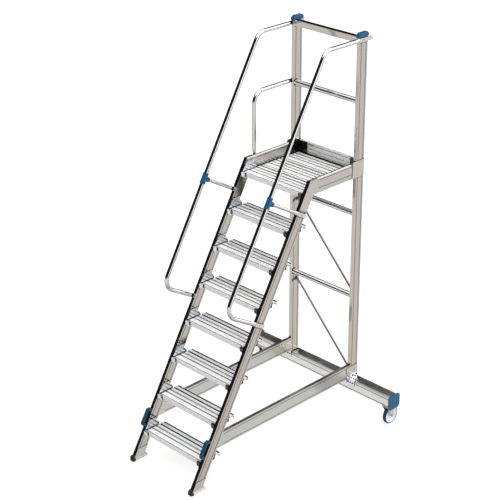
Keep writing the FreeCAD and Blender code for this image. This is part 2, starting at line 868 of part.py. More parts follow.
def make_post_cap(side, way):
    body = new_body("post_cap_" + side)
    front = POST_FRONT - cell("post_cap_overhang")
    rear = POST_REAR + cell("post_cap_overhang")
    width = cell("section_width") + cell("post_cap_wall") * 2
    low = POST_TOP - cell("post_cap_skirt")
    top = POST_TOP + cell("post_cap_height") - cell("post_cap_skirt")
    cut = cell("post_cap_chamfer") * 2
    sketch = new_sketch(body, "YZ_Plane")
    add_outline(sketch, [
        (front, low),
        (rear, low),
        (rear, top - cut),
        (rear - cut, top),
        (front + cut, top),
        (front, top - cut),
    ])
    feature = pad(body, sketch, width)
    edges = []
    for index, edge in enumerate(feature.Shape.Edges, start=1):
        box = edge.BoundBox
        if box.XLength < 0.01 and box.ZMin > plain(low) + 1:
            edges.append("Edge%d" % index)
    chamfer = body.newObject("PartDesign::Chamfer", "chamfer")
    chamfer.Base = (feature, edges)
    chamfer.setExpression("Size", (cell("post_cap_chamfer") / 2).text)
    doc.recompute()
    seat = new_sketch(body, "YZ_Plane")
    clearance = cell("fit_clearance")
    add_outline(seat, level_strip(POST_FRONT - clearance, POST_REAR + clearance,
                                  low - 1, POST_TOP))
    pocket(body, seat, cell("section_width") + clearance * 2)
    inner_edge = HALF_INNER + clearance
    relief = new_sketch(body, "YZ_Plane", (inner_edge - SECTION_X) * way)
    bar_rear = POST_FRONT + cell("top_bar_depth") + clearance
    add_outline(relief, level_strip(POST_FRONT - clearance, bar_rear, low - 1,
                                    POST_TOP - cell("top_bar_drop") + clearance))
    pocket(body, relief, width, symmetric=False, reversed_way=way < 0)
    move_to(body, x=SECTION_X * way)


# ---------------------------------------------------------------- feet
def foot_shoe_shape(way):
    """Sleeve round the foot of a stile, open in front."""
    wall = cell("shoe_wall")
    low = cell("sole_height")
    top = cell("shoe_top")
    clearance = cell("fit_clearance")
    outside = slope_strip(STILE_FRONT + wall, STILE_REAR + wall + clearance, low, top)
    inside = slope_strip(STILE_FRONT - wall, STILE_REAR + clearance, low - 1, top + 1)
    middle = plain(SECTION_X) * way
    half_out = plain(cell("section_width") / 2 + wall)
    half_in = plain(cell("section_width") / 2 + clearance)
    shell = extruded_face([flat_point(y, z) for y, z in outside], middle - half_out, middle + half_out)
    core = extruded_face([flat_point(y, z) for y, z in inside], middle - half_in, middle + half_in)
    return shell.cut(core)


def foot_nose_shape(way):
    """Rounded rubber nose that wraps the front of the foot."""
    front = NOSE_Y - cell("front_reach")
    rear = front + cell("foot_nose_depth")
    top = cell("foot_nose_height")
    low = cell("sole_height")
    clearance = plain(cell("fit_clearance"))
    cut = plain(cell("foot_nose_depth")) / 4
    y_front = plain(front)
    corners = [
        Vector(0, y_front + cut, 0),
        Vector(0, plain(rear), 0),
        Vector(0, plain(rear), plain(low) - clearance),
        Vector(0, plain(slope_y(low, STILE_FRONT)) - clearance, plain(low) - clearance),
        Vector(0, plain(slope_y(top, STILE_FRONT)) - clearance, plain(top)),
        Vector(0, y_front + cut, plain(top)),
        Vector(0, y_front, plain(top) - cut),
        Vector(0, y_front, cut),
    ]
    half = plain(cell("sole_width")) / 2
    middle = plain(SECTION_X) * way
    solid = extruded_face(corners, middle - half, middle + half)
    front_edges = []
    for edge in solid.Edges:
        box = edge.BoundBox
        if box.YMax < y_front + cut + 0.1 and box.XLength < 0.01:
            front_edges.append(edge)
    return solid.makeChamfer(half / 3, front_edges)


def foot_sole_shape(way):
    """Ribbed sole under the stile."""
    front = plain(NOSE_Y - cell("front_reach") + cell("foot_nose_depth"))
    rear = plain(NOSE_Y + cell("sole_rear"))
    top = plain(cell("sole_height")) - plain(cell("fit_clearance"))
    half = plain(cell("sole_width")) / 2
    middle = plain(SECTION_X) * way
    rib = plain(cell("rib_pitch"))
    depth = plain(cell("rib_depth")) * 2
    corners = [Vector(0, front, 0)]
    count = int((rear - front - rib) / rib)
    for index in range(count):
        start = front + rib * (index + 0.75)
        corners.append(Vector(0, start, 0))
        corners.append(Vector(0, start, depth))
        corners.append(Vector(0, start + rib / 2, depth))
        corners.append(Vector(0, start + rib / 2, 0))
    corners += [Vector(0, rear, 0), Vector(0, rear, top * 0.6), Vector(0, rear - rib, top),
                Vector(0, front, top)]
    return extruded_face(corners, middle - half, middle + half)


# ---------------------------------------------------------------- castors
def fork_shape(way):
    """Fixed castor fork: mounting plate and two cheeks that taper back to the axle."""
    gap = plain(FORK_GAP)
    thick = plain(cell("fork_thickness"))
    axle_z = plain(cell("wheel_radius"))
    top = plain(CROSS_BOTTOM)
    x = plain(CASTOR_X) * way
    y = plain(CROSS_MIDDLE)
    y_axle = plain(CASTOR_Y)
    length = plain(cell("cross_depth") - cell("fork_plate_inset") * 2)
    width = length / 2 - plain(cell("fork_head_inset"))
    outer = gap + thick * 2
    bore = plain(cell("axle_radius") + cell("axle_clearance"))
    corner = Vector(x - outer / 2, y - length / 2, top - thick)
    solids = [Part.makeBox(outer, length, thick, corner)]
    foot = plain(cell("fork_foot"))
    for cheek_way in (-1, 1):
        x_low = x + (gap / 2 if cheek_way > 0 else -gap / 2 - thick)
        head = [Vector(0, y - width, top - thick), Vector(0, y + width, top - thick),
                Vector(0, y_axle + foot, axle_z), Vector(0, y_axle - foot, axle_z)]
        solids.append(extruded_face(head, x_low, x_low + thick))
        boss = Part.makeCylinder(foot, thick, Vector(x_low, y_axle, axle_z), Vector(1, 0, 0))
        solids.append(boss)
    fork = solids[0].fuse(solids[1:]).removeSplitter()
    hole = Part.makeCylinder(bore, outer * 2, Vector(x - outer, y_axle, axle_z), Vector(1, 0, 0))
    return fork.cut(hole)


def make_wheel(side, way):
    """Tyre and rim of a castor wheel, each turned about the axle."""
    radius = cell("wheel_radius")
    width = cell("tyre_width")
    inner = radius - cell("tyre_depth")
    bore = cell("axle_radius") + cell("axle_clearance")
    shoulder = cell("tyre_depth") / 2
    hub = bore + cell("tyre_depth") / 2
    hub_half = FORK_GAP / 2 - cell("fit_clearance") * 5
    web = cell("tyre_width") / 8
    rim_half = width / 2 - web / 2
    lip = inner - cell("tyre_depth") / 2
    profiles = {
        "tyre_": [
            (-(width / 2), inner),
            (width / 2, inner),
            (width / 2, radius - shoulder),
            (width / 2 - shoulder, radius),
            (-(width / 2 - shoulder), radius),
            (-(width / 2), radius - shoulder),
        ],
        "rim_": [
            (-hub_half, bore),
            (hub_half, bore),
            (hub_half, hub),
            (web, hub + web),
            (web, lip - web),
            (rim_half, lip),
            (rim_half, inner),
            (-rim_half, inner),
            (-rim_half, lip),
            (-web, lip - web),
            (-web, hub + web),
            (-hub_half, hub),
        ],
    }
    for name, outline in profiles.items():
        body = new_body(name + side)
        sketch = new_sketch(body, "XZ_Plane")
        add_outline(sketch, outline)
        turn = body.newObject("PartDesign::Revolution", "turn")
        turn.Profile = sketch
        turn.ReferenceAxis = (sketch, ["H_Axis"])
        turn.Angle = 360
        doc.recompute()
        move_to(body, x=CASTOR_X * way, y=CASTOR_Y, z=cell("wheel_radius"))


def make_axles():
    """One bolt through each fork and wheel, with a head and a nut outside the cheeks."""
    solids = []
    reach = plain(FORK_GAP) / 2 + plain(cell("fork_thickness"))
    head = plain(cell("bolt_height")) * 1.5
    radius = plain(cell("axle_radius"))
    for side, way in SIDES:
        middle = Vector(plain(CASTOR_X) * way, plain(CASTOR_Y), plain(cell("wheel_radius")))
        across = Vector(1, 0, 0)
        shank = Part.makeCylinder(radius, reach * 2, middle - across * reach, across)
        left_head = Part.makeCylinder(radius * 1.7, head, middle - across * (reach + head), across)
        right_head = Part.makeCylinder(radius * 1.7, head, middle + across * reach, across)
        solids.append(shank.fuse([left_head, right_head]).removeSplitter())
    shape_node("castor_axles", Part.makeCompound(solids))


# ---------------------------------------------------------------- rails
def rounded_path(points, bend):
    """A wire through the points with a tangent arc of the same radius at each corner."""
    edges = []
    start = points[0]
    for index in range(1, len(points) - 1):
        corner = points[index]
        into = (corner - points[index - 1]).normalize()
        away = (points[index + 1] - corner).normalize()
        turn = into.getAngle(away)
        tangent = bend * math.tan(turn / 2)
        arc_start = corner - into * tangent
        arc_end = corner + away * tangent
        bisector = (away - into).normalize()
        centre = corner + bisector * (bend / math.cos(turn / 2))
        arc_middle = centre - bisector * bend
        edges.append(Part.LineSegment(start, arc_start).toShape())
        edges.append(Part.Arc(arc_start, arc_middle, arc_end).toShape())
        start = arc_end
    edges.append(Part.LineSegment(start, points[-1]).toShape())
    return Part.Wire(edges)


def tube_along(points, radius, wall, bend):
    """A hollow round tube along a rounded path."""
    path = rounded_path(points, bend)
    direction = (points[1] - points[0]).normalize()
    shells = []
    for circle_radius in (radius, radius - wall):
        circle = Part.Wire(Part.makeCircle(circle_radius, points[0], direction))
        shells.append(path.makePipeShell([circle], True, False))
    return shells[0].cut(shells[1])


def flat_end(start, end, radius):
    """The flattened end of a tube, from a round start to a bolted tab in the end's own X."""
    thick = plain(cell("tab_thickness"))
    half = plain(cell("tab_width")) / 2
    squash = plain(cell("flatten_length"))
    direction = Vector(0, end.y - start.y, end.z - start.z).normalize()
    across = direction.cross(Vector(1, 0, 0)).normalize()
    round_wire = Part.Wire(Part.makeCircle(radius, start, direction))
    flat_start = Vector(end.x, start.y, start.z) + direction * squash
    ellipse = Part.Ellipse(flat_start + across * half, flat_start + Vector(thick / 2, 0, 0), flat_start)
    loft = Part.makeLoft([round_wire, Part.Wire(ellipse.toShape())], True, True)
    overlap = direction * (thick / 2)
    half_thick = Vector(thick / 2, 0, 0)
    tab_start = flat_start - overlap
    tab_end = end - direction * half
    corners = [
        tab_start - half_thick + across * half,
        tab_end - half_thick + across * half,
        tab_end - half_thick - across * half,
        tab_start - half_thick - across * half,
    ]
    tab = Part.Face(Part.makePolygon(corners + corners[:1])).extrude(half_thick * 2)
    tip = Part.makeCylinder(half, thick, tab_end - half_thick, Vector(1, 0, 0))
    return loft.fuse([tab, tip])


def tab_x():
    """X of the flattened ends, which lie against the outer faces of stiles and posts."""
    return plain(HALF_OUTER) + plain(cell("tab_thickness")) / 2


def rail_x():
    """X of the handrail's axis, inside the outer face of the stile below it."""
    return plain(HALF_OUTER) - plain(cell("rail_inset"))


def make_handrail(side, way):
    """Bent handrail: flattened foot on the stile, straight rise, level top to the post."""
    radius = plain(cell("rail_radius"))
    squash = plain(cell("flatten_length"))
    offset = -plain(cell("rail_offset"))
    foot_along = plain(cell("rail_foot_along"))
    top_z = plain(RAIL_TOP)
    shift = Vector(rail_x() * way, 0, 0)
    tab_shift = Vector(tab_x() * way, 0, 0)
    foot_end = slope_point(foot_along, plain(STILE_REAR) + plain(cell("tab_overhang"))) + tab_shift
    foot_round = slope_point(foot_along, plain(STILE_FRONT) - squash) + shift
    low_corner = slope_point(foot_along, offset) + shift
    along_top = (top_z - low_corner.z) / math.sin(ANGLE)
    high_corner = low_corner + Vector(0, math.cos(ANGLE), math.sin(ANGLE)) * along_top
    high_round = Vector(shift.x, plain(POST_FRONT) - squash, top_z)
    high_end = Vector(tab_shift.x, plain(POST_REAR + cell("rail_overhang")), top_z)
    points = [foot_round, low_corner, high_corner, high_round]
    tube = tube_along(points, radius, plain(cell("rail_wall")), plain(cell("rail_bend")))
    ends = [flat_end(foot_round, foot_end, radius), flat_end(high_round, high_end, radius)]
    shape_node("handrail_" + side, tube.fuse(ends).removeSplitter())


def branch_points(way):
    shift = Vector(rail_x() * way, 0, 0)
    tab_shift = Vector(tab_x() * way, 0, 0)
    along = plain(BRANCH_ALONG)
    rail = slope_point(along, -plain(cell("rail_offset"))) + shift
    end = slope_point(along, plain(STILE_REAR) + plain(cell("tab_overhang"))) + tab_shift
    turn = slope_point(along, plain(STILE_FRONT) - plain(cell("flatten_length"))) + shift
    return rail, turn, end


def make_branch_tubes():
    solids = []
    radius = plain(cell("branch_radius"))
    for side, way in SIDES:
        rail, turn, end = branch_points(way)
        direction = (turn - rail).normalize()
        gap = plain(cell("rail_radius")) + plain(cell("connector_wall"))
        start = rail + direction * gap
        length = (turn - start).Length
        outer = Part.makeCylinder(radius, length, start, direction)
        inner = Part.makeCylinder(radius - plain(cell("rail_wall")), length, start, direction)
        solids.append(outer.cut(inner).fuse(flat_end(turn, end, radius)).removeSplitter())
    shape_node("branch_tubes", Part.makeCompound(solids))


def octagon_prism(centre, direction, size, length):
    side_way = direction.cross(Vector(1, 0, 0)).normalize()
    other_way = Vector(1, 0, 0)
    radius = size / 2 / math.cos(math.pi / 8)
    corners = []
    for index in range(8):
        turn = math.pi / 8 + index * math.pi / 4
        offset = side_way * (radius * math.cos(turn)) + other_way * (radius * math.sin(turn))
        corners.append(centre + offset)
    face = Part.Face(Part.makePolygon(corners + corners[:1]))
    return face.extrude(direction * length)


def make_connectors():
    """Moulded tee that joins the branch tube to the handrail."""
    solids = []
    wall = plain(cell("connector_wall"))
    clearance = plain(cell("fit_clearance"))
    rail_radius = plain(cell("rail_radius"))
    branch_radius = plain(cell("branch_radius"))
    length = plain(cell("connector_length"))
    neck = plain(cell("connector_neck"))
    collar = plain(cell("collar_size"))
    collar_width = plain(cell("collar_width"))
    along = Vector(0, math.cos(ANGLE), math.sin(ANGLE))
    for side, way in SIDES:
        rail, turn, end = branch_points(way)
        direction = (turn - rail).normalize()
        low = rail - along * (length / 2)
        body = Part.makeCylinder(rail_radius + wall, length, low, along)
        branch = Part.makeCylinder(branch_radius + wall, neck, rail, direction)
        collars = [
            octagon_prism(low, along, collar, collar_width),
            octagon_prism(low + along * (length - collar_width), along, collar, collar_width),
            octagon_prism(rail + direction * (neck - collar_width), direction, collar * 0.85,
                          collar_width),
        ]
        tee = body.fuse([branch] + collars)
        bore = Part.makeCylinder(rail_radius + clearance, length * 2, low - along * length / 2, along)
        branch_bore = Part.makeCylinder(branch_radius + clearance, neck * 2,
                                        rail + direction * (rail_radius + wall - clearance), direction)
        solids.append(tee.cut([bore, branch_bore]).removeSplitter())
    shape_node("rail_connectors", Part.makeCompound(solids))


def make_side_loop():
    """Guard rail on the left side: from the post forward, then down to the side beam."""
    radius = plain(cell("rail_radius"))
    squash = plain(cell("flatten_length"))
    height = plain(LOOP_HEIGHT)
    x = -tab_x()
    post_y = plain(POST_FRONT) - squash
    front_y = plain(LOOP_FRONT)
    foot_z = plain(BEAM_TOP) + squash
    points = [Vector(x, post_y, height), Vector(x, front_y, height), Vector(x, front_y, foot_z)]
    tube = tube_along(points, radius, plain(cell("rail_wall")), plain(cell("loop_bend")))
    post_end = Vector(x, plain(POST_REAR), height)
    foot_end = Vector(x, front_y, plain(BEAM_BOTTOM))
    ends = [flat_end(points[0], post_end, radius), flat_end(points[2], foot_end, radius)]
    shape_node("side_loop", tube.fuse(ends).removeSplitter())


def make_cross_tube(label, height):
    """Round tube between the inner faces of the posts."""
    body = new_body(label)
    sketch = new_sketch(body, "YZ_Plane")
    centre = POST_FRONT + cell("cross_tube_radius")
    add_circle(sketch, centre, height, cell("cross_tube_radius"))
    add_circle(sketch, centre, height, cell("cross_tube_radius") - cell("rail_wall"))
    pad(body, sketch, cell("inner_width"))


def make_brace(label, top):
    """Diagonal tube between the posts, with a flat tab against each post."""
    half = plain(HALF_INNER)
    tab = plain(cell("bracket_thickness"))
    y = plain(POST_FRONT + cell("cross_tube_radius") * 2 + cell("brace_gap") + cell("brace_radius"))
    high = Vector(-half + tab, y, plain(top))
    low = Vector(half - tab, y, plain(top - cell("brace_drop")))
    radius = plain(cell("brace_radius"))
    direction = (low - high).normalize()
    outer = Part.makeCylinder(radius, (low - high).Length, high, direction)
    inner = Part.makeCylinder(radius * 0.8, (low - high).Length, high, direction)
    tube = outer.cut(inner)
    trim = Part.makeBox((half - tab) * 2, radius * 6, plain(cell("brace_drop")) * 2,
                        Vector(-half + tab, y - radius * 3, low.z - plain(cell("brace_drop")) / 2))
    tube = tube.common(trim)
    tabs = []
    for x_low, middle in ((-half, high), (half - tab, low)):
        tabs.append(Part.makeBox(tab, radius * 2.4, radius * 5,
                                 Vector(x_low, y - radius * 1.2, middle.z - radius * 2.5)))
    shape_node(label, tube.fuse(tabs).removeSplitter())


# ---------------------------------------------------------------- grips
def make_grip(side, way):
    """Bow handle on the front of the stile, used to lift the front and wheel the stand."""
    length = cell("grip_length")
    reach = cell("grip_reach")
    bar = cell("grip_bar")
    foot = cell("grip_foot")
    cut = bar * 0.9
    body = new_body("grip_" + side)
    sketch = new_sketch(body, "YZ_Plane")
    add_outline(sketch, [
        (as_size(0), as_size(0)),
        (as_size(0), length),
        (-(reach - cut), length),
        (-reach, length - cut),
        (-reach, cut),
        (-(reach - cut), as_size(0)),
    ])
    feature = pad(body, sketch, cell("grip_width"))
    slot = new_sketch(body, "YZ_Plane")
    relief = bar * 0.5
    add_outline(slot, [
        (as_size(1), foot * 0.6),
        (as_size(1), length - foot * 0.6),
        (-(reach - bar - relief), length - foot * 0.6),
        (-(reach - bar), length - foot * 0.6 - relief),
        (-(reach - bar), foot * 0.6 + relief),
        (-(reach - bar - relief), foot * 0.6),
    ])
    feature = pocket(body, slot, cell("grip_width") + 2)
    edges = []
    front = plain(reach)
    for index, edge in enumerate(feature.Shape.Edges, start=1):
        box = edge.BoundBox
        if box.XLength < 0.01 and box.YMin < -front + 0.1 and box.ZLength > 10:
            edges.append("Edge%d" % index)
    fillet = body.newObject("PartDesign::Fillet", "fillet")
    fillet.Base = (feature, edges)
    fillet.setExpression("Radius", (bar / 3).text)
    doc.recompute()
    seat = slope_point(cell("grip_along"), STILE_FRONT)
    tilt = Rotation(Vector(1, 0, 0), plain(cell("stair_angle")) - 90)
    body.Placement = Placement(Vector(plain(SECTION_X) * way, seat.y, seat.z), tilt)
    along = cell("grip_along")
    body.setExpression("Placement.Base.x", (SECTION_X * way).text)
    body.setExpression("Placement.Base.y", (NOSE_Y + along * COS + STILE_FRONT * SIN).text)
    height = cell("first_level") + along * SIN - STILE_FRONT * COS
    body.setExpression("Placement.Base.z", height.text)


# ---------------------------------------------------------------- fasteners
def outer_stud(radius, height, point, way, surface):
    """A low round head standing out of an outer side face."""
    start = Vector(surface * way, point.y, point.z)
    return Part.makeCylinder(radius, height, start, Vector(way, 0, 0))


def make_rail_bolts():
    """Bolt heads that hold the flattened tube ends."""
    solids = []
    radius = plain(cell("bolt_radius"))
    height = plain(cell("bolt_height"))
    surface = plain(HALF_OUTER) + plain(cell("tab_thickness"))
    middle = plain(STILE_FRONT + cell("section_depth") / 2)
    top_y = plain(POST_FRONT + cell("section_depth") / 2)
    for side, way in SIDES:
        points = [
            slope_point(cell("rail_foot_along"), middle),
            slope_point(BRANCH_ALONG, middle),
            Vector(0, top_y, plain(RAIL_TOP)),
        ]
        if way < 0:
            points.append(Vector(0, top_y, plain(LOOP_HEIGHT)))
            loop_y = plain(LOOP_FRONT)
            points.append(Vector(0, loop_y, plain((BEAM_TOP + BEAM_BOTTOM) / 2)))
        for point in points:
            solids.append(outer_stud(radius, height, point, way, surface))
    shape_node("rail_bolts", Part.makeCompound(solids))


def make_plate_rivets():
    """Rivet heads on the knee plates, platform plates, base plates and shoes."""
    solids = []
    radius = plain(cell("rivet_radius"))
    height = plain(cell("rivet_height"))
    surface = plain(HALF_OUTER + cell("plate_thickness"))
    inset = plain(cell("groove_inset"))
    plate_top = plain(BEAM_TOP + cell("groove_inset"))
    plate_low = plate_top - plain(cell("joint_plate_height"))
    front = plain(POST_FRONT - cell("joint_plate_overlap"))
    rear = plain(POST_REAR)
    knee_foot = plain(KNEE_PLATE_FOOT)
    beam_middle = plain(KNEE_PLATE_REAR) - inset * 1.5
    rivet_rows = [
        slope_point(knee_foot + inset * 1.5, plain(STILE_FRONT) + inset * 2),
        slope_point(knee_foot + inset * 4, plain(STILE_REAR) - inset * 2),
        Vector(0, beam_middle, plain(BEAM_TOP) - inset * 1.5),
        Vector(0, beam_middle, plain(BEAM_BOTTOM) + inset * 1.5),
    ]
    for y in (front + inset * 1.5, rear - inset * 1.5):
        rivet_rows.append(Vector(0, y, plate_top - inset))
        rivet_rows.append(Vector(0, y, plate_low + inset))
        rivet_rows.append(Vector(0, y, plain(BASE_TOP - cell("base_plate_drop")) - inset))
    shoe_surface = plain(HALF_OUTER + cell("shoe_wall"))
    shoe_z = plain(cell("sole_height") + cell("shoe_top")) / 2
    for side, way in SIDES:
        for point in rivet_rows:
            solids.append(outer_stud(radius, height, point, way, surface))
        for back in (inset * 1.5, plain(cell("section_depth")) - inset):
            y = plain(slope_y(as_size(shoe_z), STILE_FRONT)) + back / math.sin(ANGLE)
            solids.append(outer_stud(radius, height, Vector(0, y, shoe_z), way, shoe_surface))
    shape_node("plate_rivets", Part.makeCompound(solids))


def make_base_bolts():
    """Hexagon heads through the angles into the posts and the cross-beam."""
    solids = []
    radius = plain(cell("bolt_radius"))
    height = plain(cell("bolt_height"))
    thick = plain(cell("plate_thickness"))
    reach = plain(cell("angle_reach"))
    y_low = plain(CROSS_FRONT + cell("cross_corner"))
    span = plain(POST_REAR) - y_low
    y_front = plain(CROSS_FRONT) - thick
    outer = plain(HALF_OUTER) + thick
    z_face = plain(CROSS_TOP) + thick
    for side, way in SIDES:
        for share in (0.18, 0.82):
            y = y_low + span * share
            for step in (0.36, 0.76):
                foot = Vector((outer + reach * step) * way, y, z_face)
                solids.append(Part.makeCylinder(radius, height, foot, Vector(0, 0, 1)))
            leg = Vector((outer + thick) * way, y, z_face + reach * 0.55)
            solids.append(Part.makeCylinder(radius, height, leg, Vector(way, 0, 0)))
        for step in (-0.4, 0.1, 0.6):
            front = Vector((outer + reach * step) * way, y_front, plain(CROSS_TOP) - reach / 2)
            solids.append(Part.makeCylinder(radius, height, front, Vector(0, -1, 0)))
    shape_node("base_bolts", Part.makeCompound(solids))


# ---------------------------------------------------------------- build
for side, way in SIDES:
    make_stile(side, way)
    make_post(side, way)
    make_side_beam(side, way)
    make_base_beam(side, way)
    make_knee_plate(side, way)
    make_platform_plate(side, way)
    make_base_plate(side, way)
    make_end_cap(side, way)
    make_post_cap(side, way)
    make_wheel(side, way)
    make_handrail(side, way)
    make_grip(side, way)
    brackets = [tread_bracket(number, way) for number in range(1, LEVELS + 1)]
    shape_node("tread_brackets_" + side, Part.makeCompound(brackets))

for number in range(1, LEVELS):
    make_plank("tread_%d" % number, nose_at(number), level(number), cell("plank_setback"))
for index in range(DECK_PLANKS):
    plank_setback = cell("plank_setback") if index == 0 else as_size(0)
    plank_nose = nose_at(LEVELS) + cell("plank_pitch") * index
    make_plank("deck_plank_%d" % (index + 1), plank_nose, DECK, plank_setback)

make_cross_beam()
make_top_bar()
make_toe_board()
make_ledges()
make_toe_brackets()
make_base_angles()
make_axles()
make_branch_tubes()
make_connectors()
make_side_loop()
make_cross_tube("knee_rail", DECK + cell("knee_rail_above_deck"))
make_cross_tube("rung_upper", DECK - cell("rung_upper_drop"))
make_cross_tube("rung_lower", DECK - cell("rung_lower_drop"))
make_brace("brace_upper", DECK - cell("brace_upper_drop"))
make_brace("brace_lower", CROSS_TOP + cell("brace_foot_gap") + cell("brace_drop"))
shape_node("castor_forks", Part.makeCompound([fork_shape(way) for side, way in SIDES]))
shape_node("foot_shoes", Part.makeCompound([foot_shoe_shape(way) for side, way in SIDES]))
shape_node("foot_noses", Part.makeCompound([foot_nose_shape(way) for side, way in SIDES]))
shape_node("foot_soles", Part.makeCompound([foot_sole_shape(way) for side, way in SIDES]))
make_rail_bolts()
make_plate_rivets()
make_base_bolts()

doc.recompute()

# ---------------------------------------------------------------- check and export
for item in doc.Objects:
    if "Invalid" in item.State or "Error" in item.State:
        raise RuntimeError("%s failed: %s" % (item.Label, item.State))
for node in NODES:
    if node.Shape.isNull() or not node.Shape.isValid():
        raise RuntimeError("%s has no valid shape" % node.Label)

os.makedirs("parts", exist_ok=True)
for node in NODES:
    node.Shape.exportStep("parts/%s.step" % node.Label)
print("%d nodes" % len(NODES))
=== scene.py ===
import math
import bpy
from mathutils import Matrix, Vector

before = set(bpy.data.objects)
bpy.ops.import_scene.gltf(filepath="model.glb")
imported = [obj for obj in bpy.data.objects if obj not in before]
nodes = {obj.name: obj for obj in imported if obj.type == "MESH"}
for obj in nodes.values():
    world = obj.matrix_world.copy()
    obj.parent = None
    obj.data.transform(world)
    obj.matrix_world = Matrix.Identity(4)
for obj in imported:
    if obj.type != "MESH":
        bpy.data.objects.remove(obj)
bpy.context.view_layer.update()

# Metres, in the CAD frame: X across the stand, +Y from the steps to the rear, +Z up.
# The stiles lean back this far from upright.
STILE_LEAN = math.radians(30.0)

# ---------------------------------------------------------------- camera
CAMERA_AZIMUTH = math.radians(45.25)
CAMERA_ELEVATION = math.radians(24.97)
CAMERA_DISTANCE = 9.962
CAMERA_TARGET = Vector((0.007, -0.002, 1.455))
CAMERA_ROLL = math.radians(-0.14)
CAMERA_LENS = 104.5
SENSOR_WIDTH = 36.0


def make_camera():
    camera = bpy.data.objects.new("camera", bpy.data.cameras.new("camera"))
    bpy.context.scene.collection.objects.link(camera)
    level = math.cos(CAMERA_ELEVATION)
    back = Vector((
        math.sin(CAMERA_AZIMUTH) * level,
        -math.cos(CAMERA_AZIMUTH) * level,
        math.sin(CAMERA_ELEVATION),
    ))
    camera.location = CAMERA_TARGET + back * CAMERA_DISTANCE
    turn = (-back).to_track_quat("-Z", "Y").to_matrix()
    camera.rotation_euler = (turn @ Matrix.Rotation(CAMERA_ROLL, 3, "Z")).to_euler()
    camera.data.lens = CAMERA_LENS
    camera.data.sensor_width = SENSOR_WIDTH
    bpy.context.scene.camera = camera


# ---------------------------------------------------------------- node helpers
CAVITY_SAMPLES = 16
EDGE_SAMPLES = 4
# Agreement of the true and the rounded normal, on a flat face and on a sharp edge.
EDGE_MATCH = (0.97, 0.75)
# Scale of the patches in which edges are rubbed, and the noise span that they take up.
RUB_SCALE = 35.0
RUB_SPAN = (0.35, 0.6)


def add(tree, kind, **inputs):
    """A new node with some of its inputs set."""
    node = tree.nodes.new(kind)
    for name, value in inputs.items():
        node.inputs[name.replace("_", " ")].default_value = value
    return node


def new_material(name, **principled):
    """A new material, its node tree and its shader, with some of the shader's inputs set."""
    material = bpy.data.materials.new(name)
    material.use_nodes = True
    tree = material.node_tree
    shader = tree.nodes["Principled BSDF"]
    for key, value in principled.items():
        shader.inputs[key.replace("_", " ")].default_value = value
    return material, tree, shader


def object_coordinates(tree, turn=0.0, scale=(1.0, 1.0, 1.0)):
    """Object coordinates, turned about X by an angle and scaled along each axis."""
    coordinates = tree.nodes.new("ShaderNodeTexCoord")
    mapping = tree.nodes.new("ShaderNodeMapping")
    mapping.inputs["Rotation"].default_value = (turn, 0.0, 0.0)
    tree.links.new(coordinates.outputs["Object"], mapping.inputs["Vector"])
    stretch = tree.nodes.new("ShaderNodeMapping")
    stretch.inputs["Scale"].default_value = scale
    tree.links.new(mapping.outputs["Vector"], stretch.inputs["Vector"])
    return stretch.outputs["Vector"]


def noise(tree, vector, scale, detail=4.0):
    node = add(tree, "ShaderNodeTexNoise", Scale=scale, Detail=detail)
    tree.links.new(vector, node.inputs["Vector"])
    return node.outputs["Fac"]


def remap(tree, value, low, high, new_low, new_high):
    """A value moved from one span to another, and held inside it."""
    node = add(tree, "ShaderNodeMapRange")
    node.inputs["From Min"].default_value = low
    node.inputs["From Max"].default_value = high
    node.inputs["To Min"].default_value = new_low
    node.inputs["To Max"].default_value = new_high
    tree.links.new(value, node.inputs["Value"])
    return node.outputs["Result"]


def bump(tree, shader, height, strength, distance):
    node = add(tree, "ShaderNodeBump", Strength=strength, Distance=distance)
    tree.links.new(height, node.inputs["Height"])
    tree.links.new(node.outputs["Normal"], shader.inputs["Normal"])


def cavity(tree, reach, span):
    """1 on open surfaces, falling to 0 in grooves and corners narrower than the reach."""
    node = tree.nodes.new("ShaderNodeAmbientOcclusion")
    node.samples = CAVITY_SAMPLES
    node.inputs["Distance"].default_value = reach
    return remap(tree, node.outputs["AO"], *span, 0.0, 1.0)


def edges(tree, radius):
    """1 along outer edges within the radius, 0 on flat faces."""
    rounded = tree.nodes.new("ShaderNodeBevel")
    rounded.samples = EDGE_SAMPLES
    rounded.inputs["Radius"].default_value = radius
    geometry = tree.nodes.new("ShaderNodeNewGeometry")
    match = tree.nodes.new("ShaderNodeVectorMath")
    match.operation = "DOT_PRODUCT"
    tree.links.new(rounded.outputs["Normal"], match.inputs[0])
    tree.links.new(geometry.outputs["Normal"], match.inputs[1])
    return remap(tree, match.outputs["Value"], *EDGE_MATCH, 0.0, 1.0)


def worn_edges(tree, shader, mix, radius, tint, share):
    """A lighter, rubbed tone along edges, broken up by noise; returns the new mix."""
    rub = tree.nodes.new("ShaderNodeMath")
    rub.operation = "MULTIPLY"
    patches = noise(tree, object_coordinates(tree), RUB_SCALE)
    tree.links.new(edges(tree, radius), rub.inputs[0])
    tree.links.new(remap(tree, patches, *RUB_SPAN, 0.0, share), rub.inputs[1])
    worn = tree.nodes.new("ShaderNodeMix")
    worn.data_type = "RGBA"
    worn.inputs["B"].default_value = tint + (1.0,)
    tree.links.new(mix.outputs["Result"], worn.inputs["A"])
    tree.links.new(rub.outputs["Value"], worn.inputs["Factor"])
    tree.links.new(worn.outputs["Result"], shader.inputs["Base Color"])
    return worn


def two_tone(tree, shader, value, dark, light):
    mix = tree.nodes.new("ShaderNodeMix")
    mix.data_type = "RGBA"
    mix.inputs["A"].default_value = dark + (1.0,)
    mix.inputs["B"].default_value = light + (1.0,)
    tree.links.new(value, mix.inputs["Factor"])
    tree.links.new(mix.outputs["Result"], shader.inputs["Base Color"])
    return mix


